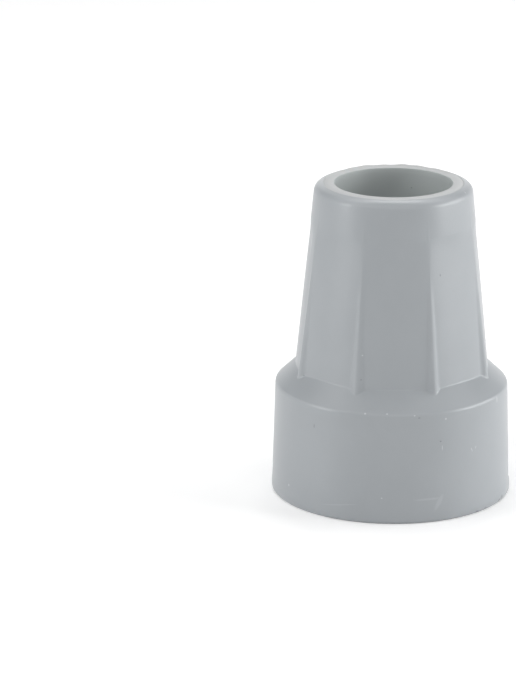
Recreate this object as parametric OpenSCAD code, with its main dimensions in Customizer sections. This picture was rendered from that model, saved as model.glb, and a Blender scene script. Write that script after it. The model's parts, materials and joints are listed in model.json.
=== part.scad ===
// Rubber cane tip: one moulding, standing on its tread, with the mouth of its bore upwards.
// All lengths are in millimetres and all angles in degrees.

/* [Overall] */
// Height from the rim of the tread to the top of the lip
tip_h = 51.35; // [48:0.05:60]
// Diameter of the skirt at the tread
tread_d = 38.9; // [37:0.1:46]

/* [Bore] */
// Diameter of the bore, which presses over the end of the cane
bore_d = 19; // [16:0.5:20.5]
// Depth of the bore below the top of the lip
bore_depth = 37; // [28:0.5:40]

/* [Skirt] */
// Height of the skirt, up to the foot of the shoulder
skirt_h = 18.15; // [12:0.05:20]
// Draft of the skirt
skirt_draft = 1.75; // [0:0.25:4]
// Slope of the shoulder above the horizontal
shoulder_slope = 43; // [30:1:55]
// Rounding of the edge between the skirt and the shoulder
rim_round = 1; // [0.3:0.1:2]
// Rounding of the edge between the skirt and the tread
base_round = 0.5; // [0.2:0.1:1]

/* [Socket] */
// Wall of the socket at the mouth, before the lip is rounded
mouth_wall = 3.16; // [2.6:0.01:4.5]
// Draft of the socket, from its round collar down to the shoulder
socket_draft = 5.6; // [4:0.1:7]
// Height of the collar, from the top of the lip down to the panels
collar_h = 6.5; // [5:0.25:12]
// Rounding of the lip's outer edge
lip_round = 1.5; // [0.5:0.1:2.2]

/* [Panels and ribs] */
// Number of panels, with a rib between each two
panel_count = 8; // [6:1:12]
// Azimuth of the front panel's middle, to the right of the front
panel_turn = 0.5; // [-22:0.5:22]
// Height by which a panel's middle stands proud of the collar
panel_proud = 0.03; // [0.02:0.01:0.2]
// Radius that a panel's bowed cross-section has over the socket's own, at the collar
panel_top_bow = 1; // [0.8:0.1:3]
// Radius that a panel's bowed cross-section has over the socket's own, at the skirt's upper edge
panel_foot_bow = 10; // [6:0.5:16]
// Height of the ribs above the panels' corners, at the shoulder
rib_h = 0.45; // [0.2:0.05:1]
// Slope of a rib's flanks from the surface of the socket
rib_flank = 45; // [30:1:60]
// Rounding of a rib's crest
rib_round = 1.2; // [0.3:0.1:1.5]

/* [Tread] */
// Width of the flat rim that meets the ground
contact_w = 0.6; // [0.4:0.1:1.5]
// Outer diameter of the outer groove
outer_groove_d = 30; // [28:0.1:33]
// Outer diameter of the ring between the grooves
ring_outer_d = 24; // [22:0.1:25.5]
// Inner diameter of the ring between the grooves
ring_inner_d = 17; // [15:0.1:19]
// Diameter of the disc in the middle of the tread
disc_d = 11.4; // [8:0.1:12.5]
// Depth of the dished outer land at the outer groove
dish_depth = 1.2; // [0.5:0.05:2]
// Depth of the ring's face
ring_recess = 2.4; // [1.5:0.05:3]
// Depth of the disc's face
disc_recess = 3.75; // [2.5:0.05:4.5]
// Depth of each groove below the land that it surrounds
groove_depth = 1.4; // [0.8:0.1:2]
// Draft of the grooves' walls
groove_draft = 12; // [4:1:16]
// Width of the flat between the rounded edges of a groove's floor
floor_flat = 0.2; // [0.1:0.1:0.8]

/* [Hidden] */
$fn = 96;
arc_steps = 9;
overlap = 1;

// Radii of the round sides at a height above the ground
function skirt_r(z) = tread_d / 2 - z * tan(skirt_draft);
function collar_r(z) = bore_d / 2 + mouth_wall + (tip_h - z) * tan(socket_draft);

// Each panel is the side of a leaning cone, which meets the panel's middle line along its length
panel_top = tip_h - collar_h;
panel_top_r = collar_r(panel_top) + panel_proud;
panel_rise = panel_top - skirt_h;
bow_grow = panel_foot_bow - panel_top_bow + panel_rise * tan(socket_draft);
bow_angle = atan(bow_grow * cos(socket_draft) / panel_rise);
apex_rise = (panel_top_r + panel_top_bow) / tan(bow_angle);
half_panel = 180 / panel_count;
panel_apex = [panel_top_r, 0, panel_top] + apex_rise * [-sin(socket_draft), 0, cos(socket_draft)];
panel_axis = [sin(bow_angle - socket_draft), 0, cos(bow_angle - socket_draft)];

// Radius of the corner between two panels at a height, where the ray out from the axis meets the cone
function corner_r(z) =
    let (ray = [cos(half_panel), sin(half_panel), 0],
         start = [0, 0, z] - panel_apex,
         k = cos(bow_angle) ^ 2,
         a = (ray * panel_axis) ^ 2 - k,
         b = (ray * panel_axis) * (start * panel_axis) - k * (ray * start),
         c = (start * panel_axis) ^ 2 - k * (start * start))
    (-b - sqrt(b ^ 2 - a * c)) / a;

// The shoulder rises from the skirt's edge and meets the corners of the panels at the socket's foot
socket_foot = skirt_h + (skirt_r(skirt_h) - corner_r(skirt_h)) * tan(shoulder_slope);
socket_bury = 4;
rib_sink = 0.05;
rib_top_r = collar_r(panel_top) - rib_sink;
rib_grow = (corner_r(socket_foot) + rib_h - rib_top_r) / (panel_top - socket_foot);
rib_lean = atan(rib_grow);
rib_root = 2.5;

// Points of an arc that rounds the corner p between two sides, whose outward normals are at from and to
function round_off(p, from, to, r) =
    let (centre = p - r / (1 + cos(to - from)) * [cos(from) + cos(to), sin(from) + sin(to)])
    [for (i = [0:arc_steps])
        let (a = from + (to - from) * i / arc_steps) centre + r * [cos(a), sin(a)]];

module skirt() {
    shoulder_normal = 90 - shoulder_slope;
    shoulder_top = skirt_h + skirt_r(skirt_h) * tan(shoulder_slope);
    cut = corner_r(socket_foot) - overlap;
    rotate_extrude()
        polygon(concat(
            [[0, 0]],
            round_off([skirt_r(0), 0], -90, skirt_draft, base_round),
            round_off([skirt_r(skirt_h), skirt_h], skirt_draft, shoulder_normal, rim_round),
            [[cut, shoulder_top - cut * tan(shoulder_slope)],
             [0, shoulder_top - cut * tan(shoulder_slope)]]
        ));
}

module collar() {
    rotate_extrude()
        polygon(concat(
            [[0, panel_top], [collar_r(panel_top), panel_top]],
            round_off([collar_r(tip_h), tip_h], socket_draft, 90, lip_round),
            [[0, tip_h]]
        ));
}

// The solid behind one bowed panel, whose middle faces +X
module panel_side() {
    near = (apex_rise - overlap) * cos(bow_angle);
    far = near + (panel_top - socket_foot + socket_bury) / cos(bow_angle) + tread_d / 2;
    translate(panel_apex)
        rotate([0, bow_angle - socket_draft, 0])
            translate([0, 0, -far])
                cylinder(r1 = far * tan(bow_angle), r2 = near * tan(bow_angle), h = far - near);
}

module panels() {
    intersection() {
        translate([0, 0, socket_foot - socket_bury])
            cylinder(r = tread_d / 2, h = panel_top - socket_foot + socket_bury);
        intersection_for (i = [0:panel_count - 1])
            rotate(i * 2 * half_panel)
                panel_side();
    }
}

// One rib, whose crest faces +X: a bead that leans in with its crest and runs up into the collar
module rib() {
    length = (panel_top - socket_foot + socket_bury) / cos(rib_lean);
    eaves = (rib_root - rib_round * (1 - 1 / cos(rib_flank))) / tan(rib_flank);
    crest = [rib_round * (1 / cos(rib_flank) - 1), 0];
    translate([rib_top_r, 0, panel_top])
        rotate([0, -rib_lean, 0])
            translate([0, 0, overlap - length])
                linear_extrude(length)
                    polygon(concat(
                        [[-rib_root, -eaves]],
                        round_off(crest, rib_flank - 90, 90 - rib_flank, rib_round),
                        [[-rib_root, eaves]]
                    ));
}

module bore() {
    translate([0, 0, tip_h - bore_depth])
        cylinder(d = bore_d, h = bore_depth + overlap);
}

// Half-section of a groove between the edges of two lands, from the outer one to the inner one
function groove(outer_r, outer_z, inner_r, inner_z) =
    let (floor_z = inner_z + groove_depth,
         floor_outer = [outer_r - (floor_z - outer_z) * tan(groove_draft), floor_z],
         floor_inner = [inner_r + groove_depth * tan(groove_draft), floor_z],
         floor_round = (floor_outer[0] - floor_inner[0] - floor_flat) / 2 / tan(45 - groove_draft / 2))
    concat(
        [[outer_r, outer_z]],
        round_off(floor_outer, groove_draft, 90, floor_round),
        round_off(floor_inner, 90, 180 - groove_draft, floor_round),
        [[inner_r, inner_z]]
    );

// All that is hollow under the tread
module tread() {
    dish_r = tread_d / 2 - base_round - contact_w;
    rotate_extrude()
        polygon(concat(
            [[0, -overlap], [dish_r, -overlap], [dish_r, 0]],
            groove(outer_groove_d / 2, dish_depth, ring_outer_d / 2, ring_recess),
            groove(ring_inner_d / 2, ring_recess, disc_d / 2, disc_recess),
            [[0, disc_recess]]
        ));
}

module cane_tip() {
    color("#9ea2a5")
        difference() {
            union() {
                skirt();
                rotate(panel_turn - 90)
                    panels();
                rotate(panel_turn - 90 + half_panel)
                    for (i = [0:panel_count - 1])
                        rotate(i * 2 * half_panel)
                            rib();
                collar();
            }
            bore();
            tread();
        }
}

cane_tip();
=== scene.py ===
"""The looks of the rubber cane tip: one grey moulding that stands on a plain pale floor."""

import json
import math

import bpy
import numpy as np
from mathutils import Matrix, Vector


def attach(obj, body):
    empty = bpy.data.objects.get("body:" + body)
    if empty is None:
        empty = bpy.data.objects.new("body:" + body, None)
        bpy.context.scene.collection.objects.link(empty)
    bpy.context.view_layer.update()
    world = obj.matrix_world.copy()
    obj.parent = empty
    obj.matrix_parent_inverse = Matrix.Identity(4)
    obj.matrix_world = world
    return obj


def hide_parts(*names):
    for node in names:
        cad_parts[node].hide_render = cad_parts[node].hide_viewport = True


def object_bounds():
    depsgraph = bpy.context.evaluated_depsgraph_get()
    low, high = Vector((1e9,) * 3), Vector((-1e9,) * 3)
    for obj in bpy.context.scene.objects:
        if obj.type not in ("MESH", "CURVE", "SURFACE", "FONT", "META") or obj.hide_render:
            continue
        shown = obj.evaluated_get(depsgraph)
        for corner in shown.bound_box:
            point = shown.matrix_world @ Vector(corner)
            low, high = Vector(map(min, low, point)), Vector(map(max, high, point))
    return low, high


MM = 0.001

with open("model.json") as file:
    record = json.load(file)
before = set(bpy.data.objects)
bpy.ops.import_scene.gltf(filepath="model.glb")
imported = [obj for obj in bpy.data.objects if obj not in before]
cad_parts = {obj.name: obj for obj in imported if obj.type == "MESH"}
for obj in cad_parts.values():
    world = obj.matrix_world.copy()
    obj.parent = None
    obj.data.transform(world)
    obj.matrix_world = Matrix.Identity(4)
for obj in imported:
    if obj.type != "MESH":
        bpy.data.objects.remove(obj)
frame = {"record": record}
cad_low, cad_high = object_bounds()

# ---------------------------------------------------------------------------------------------
# Sizes in millimetres and degrees. Heights are above the ground. Azimuth 0 is the front, -Y,
# and azimuths grow to the right.
# ---------------------------------------------------------------------------------------------

MOUNTS = {mount["name"]: mount for mount in frame["record"]["mounts"]}
BORE_R = MOUNTS["cane_bore"]["dims"]["r_mm"]
BORE_DEPTH = MOUNTS["cane_bore"]["dims"]["length_mm"]
TIP_H = cad_high.z / MM
BASE_ROUND = 0.5
SKIRT_DRAFT = 1.75
SKIRT_FOOT_R = cad_high.x / MM + BASE_ROUND * math.tan(math.radians(SKIRT_DRAFT))

FOOT_FLASH_TOP = 1.35
FOOT_FLASH_LEFT = 0.06
FOOT_FLASH_RIGHT = 0.14
SKIRT_H = 18.15
SHOULDER_SLOPE = 43
RIM_ROUND = 0.9

MOUTH_WALL = 3.16
SOCKET_DRAFT = 5.6
LAND_DROP = 0.04
LAND_R = 11.3
LAND_EDGE = 0.6
LIP_SLOPE = 22.5
LIP_ROUND = 1.4
PARTING_W = 0.18
PARTING_DEPTH = 0.24
FLASH_H = 0.24
MOUTH_EDGE = 0.12

PANEL_COUNT = 8
PANEL_TURN = 0.2
PANEL_TOP = 45.2
PANEL_R = 20
PANEL_START = 1.5
PANEL_SINK = 0.17
PANEL_SINK_RUN = 7
CORNER_BLEND = 0.08
RIB_CREST_R = 13.19
RIB_CREST_H = 46
RIB_CREST_GROWTH = 0.132
RIB_TOP_HALF_W = 0.37
RIB_TOP_SLOPE = 9
RIB_SIDE_SLOPE = 40
RIB_EDGE_BLEND = 0.08
RIB_ROOT_BLEND = 0.06
SHOULDER_BLEND = 0.06

CONTACT_W = 0.6
DISH_DEPTH = 1.2
RING_RECESS = 2.4
DISC_RECESS = 3.75
GROOVE_DEPTH = 1.4
GROOVE_DRAFT = 12
OUTER_GROOVE_R = 15
RING_OUTER_R = 12
RING_INNER_R = 8.5
DISC_R = 5.7
TREAD_EDGE = 0.18

COLUMNS_PER_HALF_PANEL = 18
COLUMN_CROWDING = 1.8
BORE_WALL_ROWS = (0.97, 0.9, 0.75, 0.5, 0.25, 0.1)


def tan(degrees):
    return math.tan(math.radians(degrees))


# ---------------------------------------------------------------------------------------------
# Outlines: lists of (radius, height), which are turned about the axis of the tip
# ---------------------------------------------------------------------------------------------


def rounded(corners):
    """Points along a bent line whose corners are (radius, height, rounding, steps)."""
    points = []
    for i, (radius, height, rounding, steps) in enumerate(corners):
        corner = np.array([radius, height], float)
        if rounding == 0 or i in (0, len(corners) - 1):
            points.append(corner)
            continue
        back = np.array(corners[i - 1][:2], float) - corner
        ahead = np.array(corners[i + 1][:2], float) - corner
        back /= np.linalg.norm(back)
        ahead /= np.linalg.norm(ahead)
        half = math.acos(np.clip(back @ ahead, -1, 1)) / 2
        reach = rounding / math.tan(half)
        middle = (back + ahead) / np.linalg.norm(back + ahead)
        centre = corner + middle * rounding / math.sin(half)
        first = corner + back * reach - centre
        last = corner + ahead * reach - centre
        start = math.atan2(first[1], first[0])
        sweep = math.atan2(last[1], last[0]) - start
        sweep = (sweep + math.pi) % (2 * math.pi) - math.pi
        for k in range(steps + 1):
            angle = start + sweep * k / steps
            points.append(centre + rounding * np.array([math.cos(angle), math.sin(angle)]))
    return points


def groove_corners(outer_r, outer_h, inner_r, inner_h):
    """Corners of a groove between two lands, from the outer edge to the inner one."""
    floor_h = inner_h + GROOVE_DEPTH
    outer_floor = outer_r - (floor_h - outer_h) * tan(GROOVE_DRAFT)
    inner_floor = inner_r + GROOVE_DEPTH * tan(GROOVE_DRAFT)
    floor_round = (outer_floor - inner_floor - 0.1) / 2 / tan(45 - GROOVE_DRAFT / 2)
    return [
        (outer_r, outer_h, TREAD_EDGE, 3),
        (outer_floor, floor_h, floor_round, 8),
        (inner_floor, floor_h, floor_round, 8),
        (inner_r, inner_h, TREAD_EDGE, 3),
    ]


def skirt_r(height):
    return SKIRT_FOOT_R - height * tan(SKIRT_DRAFT)


def socket_r(height):
    return BORE_R + MOUTH_WALL + (TIP_H - height) * tan(SOCKET_DRAFT)


SHOULDER_RISE = tan(SHOULDER_SLOPE)
SOCKET_ROWS_FROM = SKIRT_H + RIM_ROUND
SOCKET_ROWS_TO = PANEL_TOP + 0.6


def shoulder_r(height):
    return skirt_r(SKIRT_H) - (height - SKIRT_H) / SHOULDER_RISE


def tread_and_skirt():
    """From the middle of the tread to the start of the shoulder."""
    dish_r = SKIRT_FOOT_R - BASE_ROUND - CONTACT_W
    inwards = [
        (SKIRT_FOOT_R, 0, BASE_ROUND, 6),
        (dish_r, 0, TREAD_EDGE, 2),
        *groove_corners(OUTER_GROOVE_R, DISH_DEPTH, RING_OUTER_R, RING_RECESS),
        *groove_corners(RING_INNER_R, RING_RECESS, DISC_R, DISC_RECESS),
        (0.4, DISC_RECESS, 0, 0),
    ]
    flash_rows = (0.9, FOOT_FLASH_TOP, FOOT_FLASH_TOP + 0.25)
    skirt = [(skirt_r(h), h, 0, 0) for h in (*flash_rows, *np.linspace(3, SKIRT_H - 2, 7))]
    shoulder = [
        (skirt_r(SKIRT_H), SKIRT_H, RIM_ROUND, 8),
        (shoulder_r(SOCKET_ROWS_FROM), SOCKET_ROWS_FROM, 0, 0),
    ]
    return rounded(inwards[::-1] + skirt + shoulder)[:-1]


def foot_flash(azimuths, radius, height):
    """How far thin flash stands out at the sides of the foot, most of all at the right."""
    if height > FOOT_FLASH_TOP or radius < SKIRT_FOOT_R - BASE_ROUND:
        return np.zeros_like(azimuths)
    side = np.abs(np.sin(azimuths)) ** 4
    ragged = 0.75 + 0.15 * np.sin(17 * azimuths + 0.4) + 0.1 * np.sin(41 * azimuths)
    return np.where(np.sin(azimuths) > 0, FOOT_FLASH_RIGHT, FOOT_FLASH_LEFT) * side * ragged


def lip():
    """From the top of the socket's panels to the edge of the flat land round the mouth."""
    land = TIP_H - LAND_DROP
    edge_r = LAND_R + LAND_EDGE * tan(LIP_SLOPE / 2)
    side_h = land - (socket_r(land) - edge_r) * tan(LIP_SLOPE)
    return rounded([
        (socket_r(SOCKET_ROWS_TO), SOCKET_ROWS_TO, 0, 0),
        (socket_r(48), 48, 0, 0),
        (socket_r(side_h), side_h, LIP_ROUND, 12),
        (edge_r, land, LAND_EDGE, 6),
        (LAND_R - PARTING_W, land, 0, 0),
    ])[1:-1]


def mouth_and_bore():
    """From the parting line on the land, down the bore to the middle of its floor."""
    land = TIP_H - LAND_DROP
    floor_h = TIP_H - BORE_DEPTH
    wall = [(BORE_R, floor_h + share * BORE_DEPTH, 0, 0) for share in BORE_WALL_ROWS]
    return rounded([
        (LAND_R - PARTING_W, land, 0, 0),
        (BORE_R + 0.8, land, 0, 0),
        (BORE_R, land, MOUTH_EDGE, 3),
        *wall,
        (BORE_R, floor_h, 0.6, 4),
        (0.4, floor_h, 0, 0),
    ])


def parting_line(azimuths):
    """Height of the line round the land: sunk at the sides, and ragged flash behind."""
    side = np.clip(1.5 * np.abs(np.sin(azimuths)) - 0.4, 0, 1)
    back = np.clip(-np.cos(azimuths), 0, 1) ** 0.7
    ragged = 0.65 + 0.2 * np.sin(9 * azimuths + 0.7) + 0.15 * np.sin(23 * azimuths + 2.1)
    return TIP_H - LAND_DROP - PARTING_DEPTH * side * (1 - back) + FLASH_H * back * ragged


# ---------------------------------------------------------------------------------------------
# The socket: bowed panels that meet at corners, and ribs that grow out of the corners
# ---------------------------------------------------------------------------------------------


def smooth_min(a, b, width):
    near = np.clip(0.5 + 0.5 * (b - a) / width, 0, 1)
    return b + (a - b) * near - width * near * (1 - near)


def smooth_max(a, b, width):
    return -smooth_min(-a, -b, width)


def panel_side(from_middle, height):
    """Radius of a panel's bowed side, at an angle from the panel's middle."""
    below = max(PANEL_TOP - height, 0)
    start = 1 - math.exp(-below / PANEL_START)
    middle_r = socket_r(height) - PANEL_SINK * start * math.exp(-below / PANEL_SINK_RUN)
    bow = (PANEL_R - middle_r) * start
    bow_r = middle_r + bow
    return np.sqrt(bow_r**2 - (bow * np.sin(from_middle)) ** 2) - bow * np.cos(from_middle)


def socket_ring(from_middle, height):
    """Radius all round the socket and the shoulder at a height."""
    half = math.pi / PANEL_COUNT
    own = panel_side(from_middle, height)
    neighbour = panel_side(2 * half - from_middle, height)
    side = own
    if height < PANEL_TOP:
        side = smooth_min(own, neighbour, CORNER_BLEND * min(1, PANEL_TOP - height))
    crest = RIB_CREST_R + (RIB_CREST_H - height) * RIB_CREST_GROWTH
    off_crest = crest * np.sin(half - from_middle)
    top = crest - off_crest * tan(RIB_TOP_SLOPE)
    edge = crest - RIB_TOP_HALF_W * tan(RIB_TOP_SLOPE)
    flank = edge + (RIB_TOP_HALF_W - off_crest) * tan(RIB_SIDE_SLOPE)
    rib = smooth_min(top, flank, RIB_EDGE_BLEND)
    side = smooth_max(side, rib, RIB_ROOT_BLEND)
    return smooth_max(side, np.full_like(side, shoulder_r(height)), SHOULDER_BLEND)


def columns():
    """Azimuth of each column of points, and its angle from the middle of its panel, in radians."""
    half = math.pi / PANEL_COUNT
    steps = np.arange(COLUMNS_PER_HALF_PANEL + 1) / COLUMNS_PER_HALF_PANEL
    rising = half * (1 - (1 - steps) ** COLUMN_CROWDING)
    offsets = np.concatenate([-rising[:0:-1], rising[:-1]])
    middles = math.radians(PANEL_TURN) + 2 * half * np.arange(PANEL_COUNT)
    azimuths = (middles[:, None] + offsets[None, :]).ravel()
    return azimuths, np.tile(np.abs(offsets), PANEL_COUNT)


def socket_heights():
    """Close rows over the shoulder and at the panels' tops, and wider ones between them."""
    return np.concatenate([
        np.arange(SOCKET_ROWS_FROM, 22.6, 0.12),
        np.arange(22.6, 43.9, 0.45),
        np.arange(43.9, SOCKET_ROWS_TO, 0.15),
    ])


def moulding():
    """The whole moulding as one closed mesh."""
    azimuths, from_middle = columns()
    level = np.ones_like(azimuths)
    rings = [(r + foot_flash(azimuths, r, h), h * level) for r, h in tread_and_skirt()]
    rings += [(socket_ring(from_middle, h), h * level) for h in socket_heights()]
    rings += [(r * level, h * level) for r, h in lip()]
    rings.append(((LAND_R - PARTING_W / 2) * level, parting_line(azimuths)))
    rings += [(r * level, h * level) for r, h in mouth_and_bore()]
    count = len(azimuths)
    points = [(0, 0, rings[0][1][0])]
    for radii, heights in rings:
        points += list(zip(radii * np.sin(azimuths), -radii * np.cos(azimuths), heights))
    points.append((0, 0, rings[-1][1][0]))
    faces = []
    for column in range(count):
        following = (column + 1) % count
        faces.append((0, 1 + following, 1 + column))
        for row in range(len(rings) - 1):
            low = 1 + row * count
            high = low + count
            faces.append((low + column, low + following, high + following, high + column))
        last = 1 + (len(rings) - 1) * count
        faces.append((last + column, last + following, len(points) - 1))
    mesh = bpy.data.meshes.new("cane_tip_moulding")
    mesh.from_pydata((np.array(points) * MM).tolist(), [], faces)
    mesh.validate()
    mesh.shade_smooth()
    tip = bpy.data.objects.new("cane_tip_moulding", mesh)
    bpy.context.collection.objects.link(tip)
    return tip


# ---------------------------------------------------------------------------------------------
# Materials
# ---------------------------------------------------------------------------------------------


RUBBER_DARK = (0.35, 0.371, 0.389, 1)
RUBBER_PALE = (0.37, 0.391, 0.409, 1)
RUBBER_ROUGHNESS = 0.31
ROUGHNESS_SPREAD = 0.03
RUBBER_SPECULAR = 0.35
# Painted light: the inside of the bore is painted paler than the rubber, to stand in for light that
# reaches into it
BORE_PAINTED_LIGHT = (0.445, 0.475, 0.473, 1)
# Painted light: the flat land round the mouth is painted paler than the rubber, as if more light
# fell on it from above
LAND_PAINTED_LIGHT = (0.52, 0.531, 0.535, 1)
LAND_ROUGHNESS = 0.7
MASK_EDGE = 0.06
MOTTLE_SCALE = 110
GRAIN_SCALE = 2500
GRAIN_DEPTH = 0.03
PALE_MARK_AND_HIGHLIGHT = (0.8, 0.82, 0.82, 1)
DARK_MARK_AND_SHADE = (0.1, 0.11, 0.11, 1)
SCUFF_MARK = (0.62, 0.65, 0.66, 1)


def new_material(name):
    material = bpy.data.materials.new(name)
    material.use_nodes = True
    nodes = material.node_tree.nodes
    nodes.clear()
    output = nodes.new("ShaderNodeOutputMaterial")
    return material, nodes, material.node_tree.links, output


# Small marks on the moulding, among them painted highlights and painted shade: azimuth, height,
# half-width, half-height and tilt
PALE_MARKS_AND_HIGHLIGHTS = {
    # Pale specks along the rim line
    "rim_speck_left": (-14.8, 18.2, 0.17, 0.13, 0),
    "rim_speck_front": (-4.1, 18.3, 0.16, 0.1, 0),
    "rim_speck_right": (9.2, 18, 0.15, 0.1, 0),
    "rim_glint": (61.8, 17.6, 0.12, 0.5, 0),
    "skirt_dot_high": (25.2, 17, 0.15, 0.15, 0),
    "skirt_dot_low": (-6.2, 4.4, 0.14, 0.1, 0),
    "skirt_dot_left": (-60, 3.3, 0.16, 0.2, 0),
    "skirt_scratch_left": (40.5, 11, 0.055, 0.38, -25),
    "skirt_scratch_right": (43.2, 11.2, 0.055, 0.26, 20),
    "skirt_hair": (23.3, 12.3, 0.06, 0.42, 0),
    "panel_dot": (-19.7, 26.7, 0.12, 0.12, 0),
    "rib_dot": (-70.3, 28.1, 0.3, 0.13, 0),
    "lip_dot": (66, 50.9, 0.14, 0.14, 0),
    # Painted highlight: a bright line along the left edge of the socket near its top
    "left_edge_highlight": (-76, 42, 0.12, 1.9, 0),
}
DARK_MARKS_AND_SHADE = {
    "panel_pit": (-19.8, 22.8, 0.13, 0.11, 0),
    "side_pit": (30.6, 39.2, 0.12, 0.2, 0),
    "skirt_pit": (22.4, 13.4, 0.16, 0.13, 0),
    "skirt_smudge": (-42.3, 14.8, 0.1, 0.35, 0),
    "rim_pit": (11.5, 17.6, 0.2, 0.1, 0),
    "rib_foot_pit": (-64, 21, 0.15, 0.12, 0),
    # Painted shade: dark spots along the ragged bottom edge at the right, where the foot stands in
    # shadow
    "foot_shade_far": (66, 0.6, 0.5, 0.45, 0),
    "foot_shade_middle": (63, 0.4, 0.35, 0.3, 0),
    "foot_shade_near": (50, 0.3, 0.4, 0.25, 0),
    "foot_shade_front": (44, 0.3, 0.4, 0.2, 0),
}
BORE_MARKS = {"bore_pit": (159.8, 48.1, 0.13, 0.1, 0)}
SCUFFS = {
    "mould_line": (-27, 2.6, 3.2, 0.1, -9),
    "scuff_flat": (16, 4, 2.2, 0.18, 0),
    "scuff_upright": (21.6, 3.3, 0.4, 1.4, 29),
}


def outside_r(height):
    return skirt_r(height) if height < SKIRT_H else max(shoulder_r(height), socket_r(height))


def bore_r(height):
    return BORE_R


def marks(nodes, links, place, spots, wall_r):
    """How much of a mark there is, from 0 to 1. The wall's radius is a function of height."""
    total = None
    for azimuth, height, half_w, half_h, tilt in spots.values():
        turned = nodes.new("ShaderNodeVectorRotate")
        turned.rotation_type = "Z_AXIS"
        turned.inputs["Angle"].default_value = -math.radians(azimuth)
        offset = nodes.new("ShaderNodeVectorMath")
        offset.operation = "SUBTRACT"
        offset.inputs[1].default_value = (0, -wall_r(height) * MM, height * MM)
        tilted = nodes.new("ShaderNodeVectorRotate")
        tilted.rotation_type = "Y_AXIS"
        tilted.inputs["Angle"].default_value = math.radians(-tilt)
        scaled = nodes.new("ShaderNodeVectorMath")
        scaled.operation = "MULTIPLY"
        scaled.inputs[1].default_value = (1 / (half_w * MM), 1 / MM, 1 / (half_h * MM))
        distance = nodes.new("ShaderNodeVectorMath")
        distance.operation = "LENGTH"
        amount = nodes.new("ShaderNodeMapRange")
        amount.interpolation_type = "SMOOTHSTEP"
        amount.inputs["From Min"].default_value = 1.3
        amount.inputs["From Max"].default_value = 0.6
        links.new(place.outputs["Object"], turned.inputs["Vector"])
        links.new(turned.outputs["Vector"], offset.inputs[0])
        links.new(offset.outputs["Vector"], tilted.inputs["Vector"])
        links.new(tilted.outputs["Vector"], scaled.inputs[0])
        links.new(scaled.outputs["Vector"], distance.inputs[0])
        links.new(distance.outputs["Value"], amount.inputs["Value"])
        if total is None:
            total = amount.outputs["Result"]
            continue
        most = nodes.new("ShaderNodeMath")
        most.operation = "MAXIMUM"
        links.new(total, most.inputs[0])
        links.new(amount.outputs["Result"], most.inputs[1])
        total = most.outputs[0]
    return total


def within(nodes, links, place, radius_limit, height_limit):
    """1 nearer to the axis than a radius and above a height, and 0 elsewhere."""
    flat = nodes.new("ShaderNodeVectorMath")
    flat.operation = "MULTIPLY"
    flat.inputs[1].default_value = (1, 1, 0)
    radius = nodes.new("ShaderNodeVectorMath")
    radius.operation = "LENGTH"
    near = nodes.new("ShaderNodeMapRange")
    near.inputs["From Min"].default_value = (radius_limit + MASK_EDGE) * MM
    near.inputs["From Max"].default_value = (radius_limit - MASK_EDGE) * MM
    parts = nodes.new("ShaderNodeSeparateXYZ")
    above = nodes.new("ShaderNodeMath")
    above.operation = "GREATER_THAN"
    above.inputs[1].default_value = height_limit * MM
    both = nodes.new("ShaderNodeMath")
    both.operation = "MULTIPLY"
    links.new(place.outputs["Object"], flat.inputs[0])
    links.new(flat.outputs["Vector"], radius.inputs[0])
    links.new(radius.outputs["Value"], near.inputs["Value"])
    links.new(place.outputs["Object"], parts.inputs["Vector"])
    links.new(parts.outputs["Z"], above.inputs[0])
    links.new(near.outputs["Result"], both.inputs[0])
    links.new(above.outputs[0], both.inputs[1])
    return both.outputs[0]


def marked(nodes, links, under, amount, color, strength):
    """A colour with marks of another colour over it."""
    share = nodes.new("ShaderNodeMath")
    share.operation = "MULTIPLY"
    share.inputs[1].default_value = strength
    over = nodes.new("ShaderNodeMix")
    over.data_type = "RGBA"
    over.inputs["B"].default_value = color
    links.new(amount, share.inputs[0])
    links.new(share.outputs[0], over.inputs["Factor"])
    links.new(under, over.inputs["A"])
    return over.outputs["Result"]


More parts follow.
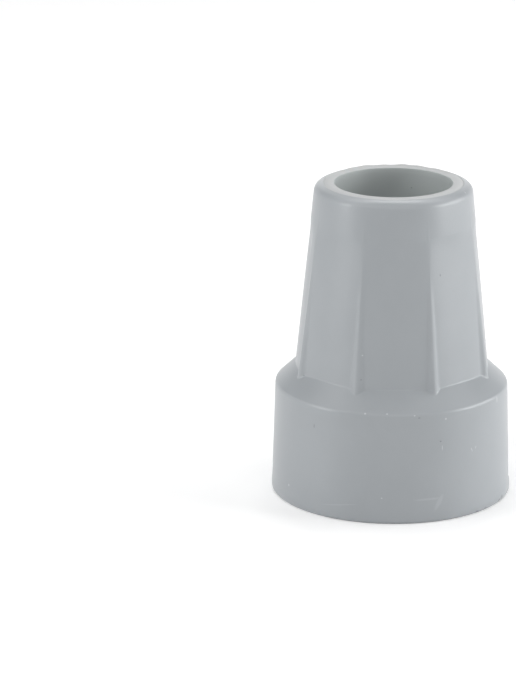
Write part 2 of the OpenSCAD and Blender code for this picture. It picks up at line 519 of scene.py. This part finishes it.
def rubber():
    """Smooth, semi-matte grey rubber, with faint mottling, a fine grain and small marks, among them
    painted highlights and painted shade; the land and the bore are painted paler as painted light.
    """
    material, nodes, links, output = new_material("grey_rubber")
    shader = nodes.new("ShaderNodeBsdfPrincipled")
    shader.inputs["IOR"].default_value = 1.5
    shader.inputs["Specular IOR Level"].default_value = RUBBER_SPECULAR
    place = nodes.new("ShaderNodeTexCoord")
    mottle = nodes.new("ShaderNodeTexNoise")
    mottle.inputs["Scale"].default_value = MOTTLE_SCALE
    mottle.inputs["Detail"].default_value = 5
    mottle.inputs["Roughness"].default_value = 0.6
    tint = nodes.new("ShaderNodeValToRGB")
    tint.color_ramp.elements[0].position = 0.25
    tint.color_ramp.elements[0].color = RUBBER_DARK
    tint.color_ramp.elements[1].position = 0.75
    tint.color_ramp.elements[1].color = RUBBER_PALE
    gloss = nodes.new("ShaderNodeMapRange")
    gloss.inputs["To Min"].default_value = RUBBER_ROUGHNESS - ROUGHNESS_SPREAD
    gloss.inputs["To Max"].default_value = RUBBER_ROUGHNESS + ROUGHNESS_SPREAD
    trimmed = nodes.new("ShaderNodeMix")
    trimmed.inputs["B"].default_value = LAND_ROUGHNESS
    grain = nodes.new("ShaderNodeTexNoise")
    grain.inputs["Scale"].default_value = GRAIN_SCALE
    grain.inputs["Detail"].default_value = 3
    bump = nodes.new("ShaderNodeBump")
    bump.inputs["Strength"].default_value = 0.25
    bump.inputs["Distance"].default_value = GRAIN_DEPTH * MM
    bore = within(nodes, links, place, BORE_R + 0.1, TIP_H - BORE_DEPTH - 1)
    land = within(nodes, links, place, LAND_R, TIP_H - 0.2)
    layers = (
        # painted light: the land painted paler
        (land, LAND_PAINTED_LIGHT, 1),
        # painted light: the bore painted paler
        (bore, BORE_PAINTED_LIGHT, 1),
        (marks(nodes, links, place, SCUFFS, outside_r), SCUFF_MARK, 0.15),
        (marks(nodes, links, place, BORE_MARKS, bore_r), DARK_MARK_AND_SHADE, 0.5),
        # dark marks, and painted shade along the foot
        (marks(nodes, links, place, DARK_MARKS_AND_SHADE, outside_r), DARK_MARK_AND_SHADE, 0.4),
        # pale marks, and painted highlights on the rim and along the left edge
        (marks(nodes, links, place, PALE_MARKS_AND_HIGHLIGHTS, outside_r), PALE_MARK_AND_HIGHLIGHT, 0.38),
    )
    color = tint.outputs["Color"]
    for amount, over, strength in layers:
        color = marked(nodes, links, color, amount, over, strength)
    links.new(place.outputs["Object"], mottle.inputs["Vector"])
    links.new(place.outputs["Object"], grain.inputs["Vector"])
    links.new(mottle.outputs["Fac"], tint.inputs["Fac"])
    links.new(mottle.outputs["Fac"], gloss.inputs["Value"])
    links.new(grain.outputs["Fac"], bump.inputs["Height"])
    links.new(color, shader.inputs["Base Color"])
    links.new(land, trimmed.inputs["Factor"])
    links.new(gloss.outputs["Result"], trimmed.inputs["A"])
    links.new(trimmed.outputs["Result"], shader.inputs["Roughness"])
    links.new(bump.outputs["Normal"], shader.inputs["Normal"])
    links.new(shader.outputs["BSDF"], output.inputs["Surface"])
    return material


def seen_or_reflected(nodes, links):
    """1 for rays from the camera, and for those of gloss and glass, and 0 for the rest."""
    path = nodes.new("ShaderNodeLightPath")
    total = path.outputs["Is Camera Ray"]
    for kind in ("Is Glossy Ray", "Is Transmission Ray"):
        add = nodes.new("ShaderNodeMath")
        add.use_clamp = True
        links.new(total, add.inputs[0])
        links.new(path.outputs[kind], add.inputs[1])
        total = add.outputs[0]
    return total


def pale_floor():
    """White paper that takes the tip's soft shadow and is lifted to white round it."""
    material, nodes, links, output = new_material("white_floor")
    paper = nodes.new("ShaderNodeBsdfDiffuse")
    paper.inputs["Color"].default_value = PAPER
    lift = nodes.new("ShaderNodeEmission")
    strength = nodes.new("ShaderNodeMath")
    strength.operation = "MULTIPLY"
    strength.inputs[1].default_value = FLOOR_LIFT
    add = nodes.new("ShaderNodeAddShader")
    links.new(seen_or_reflected(nodes, links), strength.inputs[0])
    links.new(strength.outputs[0], lift.inputs["Strength"])
    links.new(paper.outputs["BSDF"], add.inputs[0])
    links.new(lift.outputs["Emission"], add.inputs[1])
    links.new(add.outputs["Shader"], output.inputs["Surface"])
    return material


# ---------------------------------------------------------------------------------------------
# Camera, lamps, floor and world
# ---------------------------------------------------------------------------------------------

CAMERA_PLACE = (-0.02174, -0.55105, 0.19222)
CAMERA_DIP = 16.958
CAMERA_LENS = 185.4
WORLD_LIGHT = 0
BOX_DISTANCE = 1
CARD_DISTANCE = 1.5
CARD_SHADE = (0.02, 0.02, 0.02, 1)
PAPER = (0.9, 0.9, 0.9, 1)
FLOOR_LIFT = 0.24
FLOOR_SIZE = 6


def add_camera():
    camera = bpy.data.objects.new("camera", bpy.data.cameras.new("camera"))
    camera.data.sensor_width = 36
    camera.data.lens = CAMERA_LENS
    camera.location = CAMERA_PLACE
    camera.rotation_euler = (math.radians(90 - CAMERA_DIP), 0, 0)
    bpy.context.collection.objects.link(camera)
    bpy.context.scene.camera = camera


def facing(azimuth, elevation, distance):
    """A place at a distance from the middle of the tip, and the turn that faces it there."""
    turn, rise = math.radians(azimuth), math.radians(elevation)
    away = Vector((
        math.sin(turn) * math.cos(rise),
        -math.cos(turn) * math.cos(rise),
        math.sin(rise),
    ))
    return Vector((0, 0, cad_high.z / 2)) + away * distance, away.to_track_quat("Z", "Y").to_euler()


def soft_box(name, azimuth, elevation, across, upward, radiance):
    """A rectangular lamp that faces the tip, given by how large and how bright it looks."""
    width = 2 * BOX_DISTANCE * tan(across * math.cos(math.radians(elevation)) / 2)
    height = 2 * BOX_DISTANCE * tan(upward / 2)
    lamp = bpy.data.lights.new(name, "AREA")
    lamp.shape = "RECTANGLE"
    lamp.size = width
    lamp.size_y = height
    lamp.energy = math.pi * width * height * radiance
    box = bpy.data.objects.new(name, lamp)
    box.location, box.rotation_euler = facing(azimuth, elevation, BOX_DISTANCE)
    bpy.context.collection.objects.link(box)


def dark_card(name, azimuth, elevation, across, upward):
    """A dark card that only shows in the gloss of the tip, with its size in degrees."""
    place, turn = facing(azimuth, elevation, CARD_DISTANCE)
    bpy.ops.mesh.primitive_plane_add(size=2, location=place, rotation=turn)
    card = bpy.context.object
    card.name = name
    card.scale = (CARD_DISTANCE * tan(across / 2), CARD_DISTANCE * tan(upward / 2), 1)
    card.visible_camera = False
    card.visible_diffuse = False
    card.visible_shadow = False
    material, nodes, links, output = new_material(name)
    shade = nodes.new("ShaderNodeBsdfDiffuse")
    shade.inputs["Color"].default_value = CARD_SHADE
    links.new(shade.outputs["BSDF"], output.inputs["Surface"])
    card.data.materials.append(material)


def add_cards():
    """What the shoulder reflects in the photo: azimuth, elevation, and size in degrees."""
    dark_card("right_card", 138, 30, 38, 34)
    dark_card("left_card", 226, 28, 34, 30)


def add_lamps():
    """Azimuth, elevation, how wide and how high a box looks in degrees, and its radiance."""
    soft_box("right_front_box", 74, 12, 18, 26, 9.8)
    soft_box("right_box", 99, 12, 28, 26, 5.5)
    soft_box("left_box", -73, 12, 20, 26, 6.7)
    soft_box("high_front_box", 8, 34, 60, 26, 1.55)
    soft_box("high_left_box", -53, 38, 60, 26, 2.2)
    soft_box("low_back_box", 180, 12, 27, 26, 0.4)
    soft_box("top_right_box", 120, 64, 62, 26, 2.5)
    soft_box("top_back_box", 176, 61, 44, 16, 6)
    soft_box("top_left_box", 240, 64, 62, 26, 3.1)


def add_floor():
    bpy.ops.mesh.primitive_plane_add(size=FLOOR_SIZE)
    floor = bpy.context.object
    floor.name = "floor"
    floor.data.materials.append(pale_floor())


def set_world():
    """White where it is seen or reflected, and a plain level of light for the rest."""
    world = bpy.data.worlds.new("world")
    bpy.context.scene.world = world
    world.use_nodes = True
    nodes, links = world.node_tree.nodes, world.node_tree.links
    background = nodes["Background"]
    background.inputs["Color"].default_value = (1, 1, 1, 1)
    level = nodes.new("ShaderNodeMapRange")
    level.inputs["To Min"].default_value = WORLD_LIGHT
    level.inputs["To Max"].default_value = 1
    links.new(seen_or_reflected(nodes, links), level.inputs["Value"])
    links.new(level.outputs["Result"], background.inputs["Strength"])


# ---------------------------------------------------------------------------------------------
# The scene
# ---------------------------------------------------------------------------------------------

add_camera()
add_lamps()
add_cards()
set_world()
add_floor()

tip = moulding()
tip.data.materials.append(rubber())
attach(tip, "root")
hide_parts("cane_tip")

bpy.context.scene.view_settings.view_transform = "Standard"
